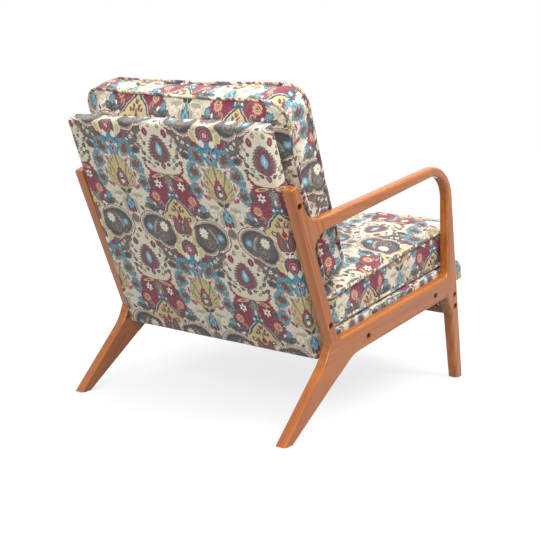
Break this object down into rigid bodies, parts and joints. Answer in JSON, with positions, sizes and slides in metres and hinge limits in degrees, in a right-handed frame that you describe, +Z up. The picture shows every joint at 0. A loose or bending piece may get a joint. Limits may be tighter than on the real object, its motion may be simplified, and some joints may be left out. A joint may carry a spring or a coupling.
{
  "type": "accent chair",
  "caption": "Low upholstered lounge armchair with bent hardwood side frames, a printed fabric seat deck and back panel, and loose boxed cushions with piping.",
  "frame": {"origin": "on the floor, under the middle of the chair's bounding box", "axes": "+Z up, the chair faces -Y, +X is the sitter's left"},
  "size_m": [0.67, 0.8088, 0.7761],
  "materials": {
    "black_steel": "black oxide",
    "clip_plastic": "matte",
    "cushion_fabric": "printed woven cotton",
    "deck_fabric": "printed woven cotton",
    "dowel_wood": "plain",
    "dust_cloth": "non-woven",
    "fibre_board": "matte",
    "foam": "upholstery foam",
    "frame_wood": "rough sawn",
    "glide_plastic": "matte",
    "panel_fabric": "printed woven cotton",
    "piping_cord": "printed woven cotton over cord",
    "spacer_steel": "zinc plated",
    "spring_steel": "oiled",
    "stained_wood": "glossy stained hardwood",
    "wadding": "bonded wadding",
    "webbing": "elastic webbing",
    "zinc_steel": "zinc plated"
  },
  "bodies": {
    "chair": {"back_panel_board": "fibre_board", "back_panel_bottom_rail": "frame_wood", "back_panel_cover": "panel_fabric", "back_panel_front_wadding": "wadding", "back_panel_left_stile": "frame_wood", "back_panel_middle_rail": "frame_wood", "back_panel_rear_wadding": "wadding", "back_panel_right_stile": "frame_wood", "back_panel_top_rail": "frame_wood", "back_panel_webbing": "webbing", "deck_corner_blocks": "frame_wood", "deck_cover": "deck_fabric", "deck_dust_cover": "dust_cloth", "deck_edge_roll": "foam", "deck_foam": "foam", "deck_front_rail": "frame_wood", "deck_left_rail": "frame_wood", "deck_rear_rail": "frame_wood", "deck_right_rail": "frame_wood", "deck_spring_clips": "clip_plastic", "deck_springs": "spring_steel", "front_apron": "stained_wood", "left_armrest": "stained_wood", "left_back_post": "stained_wood", "left_barrel_nuts": "zinc_steel", "left_bolt_washers": "black_steel", "left_foot_glides": "glide_plastic", "left_frame_bolts": "black_steel", "left_frame_dowels": "dowel_wood", "left_front_leg": "stained_wood", "left_panel_spacers": "spacer_steel", "left_rear_leg": "stained_wood", "left_side_rail": "stained_wood", "left_threaded_inserts": "zinc_steel", "right_armrest": "stained_wood", "right_back_post": "stained_wood", "right_barrel_nuts": "zinc_steel", "right_bolt_washers": "black_steel", "right_foot_glides": "glide_plastic", "right_frame_bolts": "black_steel", "right_frame_dowels": "dowel_wood", "right_front_leg": "stained_wood", "right_panel_spacers": "spacer_steel", "right_rear_leg": "stained_wood", "right_side_rail": "stained_wood", "right_threaded_inserts": "zinc_steel"},
    "seat_cushion": {"seat_cushion_cover": "cushion_fabric", "seat_cushion_fill": "foam", "seat_cushion_piping": "piping_cord"},
    "back_cushion": {"back_cushion_cover": "cushion_fabric", "back_cushion_fill": "foam", "back_cushion_piping": "piping_cord"}
  },
  "joints": [
    {"name": "seat_cushion_slide", "type": "slide", "parent": "chair", "child": "seat_cushion", "axis": [0, -0.9866, 0.1633], "range_m": [0, 0.25]},
    {"name": "back_cushion_slide", "type": "slide", "parent": "chair", "child": "back_cushion", "axis": [0, 0.3499, 0.9368], "range_m": [0, 0.3]}
  ]
}
